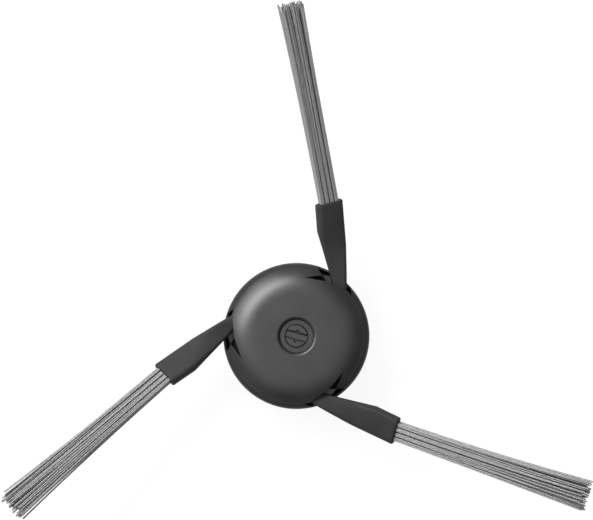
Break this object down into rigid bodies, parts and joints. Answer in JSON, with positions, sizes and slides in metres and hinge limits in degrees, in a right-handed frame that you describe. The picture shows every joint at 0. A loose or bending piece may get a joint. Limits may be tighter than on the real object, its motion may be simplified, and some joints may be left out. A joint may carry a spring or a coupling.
{
  "type": "robot vacuum side brush",
  "caption": "Domed hub with offset rubber arms that carry splayed nylon tufts, a captive screw in the middle and a square drive socket beneath, for sweeping along edges.",
  "frame": {"origin": "on the hub's axis, at the rest face of the drive boss", "axes": "+Z along the hub's axis towards the dome; arm_1 points along +Y"},
  "size_m": [0.1385, 0.1211, 0.0268],
  "materials": {
    "hub_plastic": "satin moulded",
    "arm_rubber": "matte",
    "bristle_nylon": "semi-gloss filaments",
    "screw_metal": "dark satin"
  },
  "bodies": {
    "root": {"hub_cap": "hub_plastic", "drive_base": "hub_plastic", "fixing_screw": "screw_metal", "arm_1": "arm_rubber", "arm_2": "arm_rubber", "arm_3": "arm_rubber", "arm_1_tuft_1": "bristle_nylon", "arm_1_tuft_2": "bristle_nylon", "arm_1_tuft_3": "bristle_nylon", "arm_1_tuft_4": "bristle_nylon", "arm_2_tuft_1": "bristle_nylon", "arm_2_tuft_2": "bristle_nylon", "arm_2_tuft_3": "bristle_nylon", "arm_2_tuft_4": "bristle_nylon", "arm_3_tuft_1": "bristle_nylon", "arm_3_tuft_2": "bristle_nylon", "arm_3_tuft_3": "bristle_nylon", "arm_3_tuft_4": "bristle_nylon"}
  },
  "joints": []
}
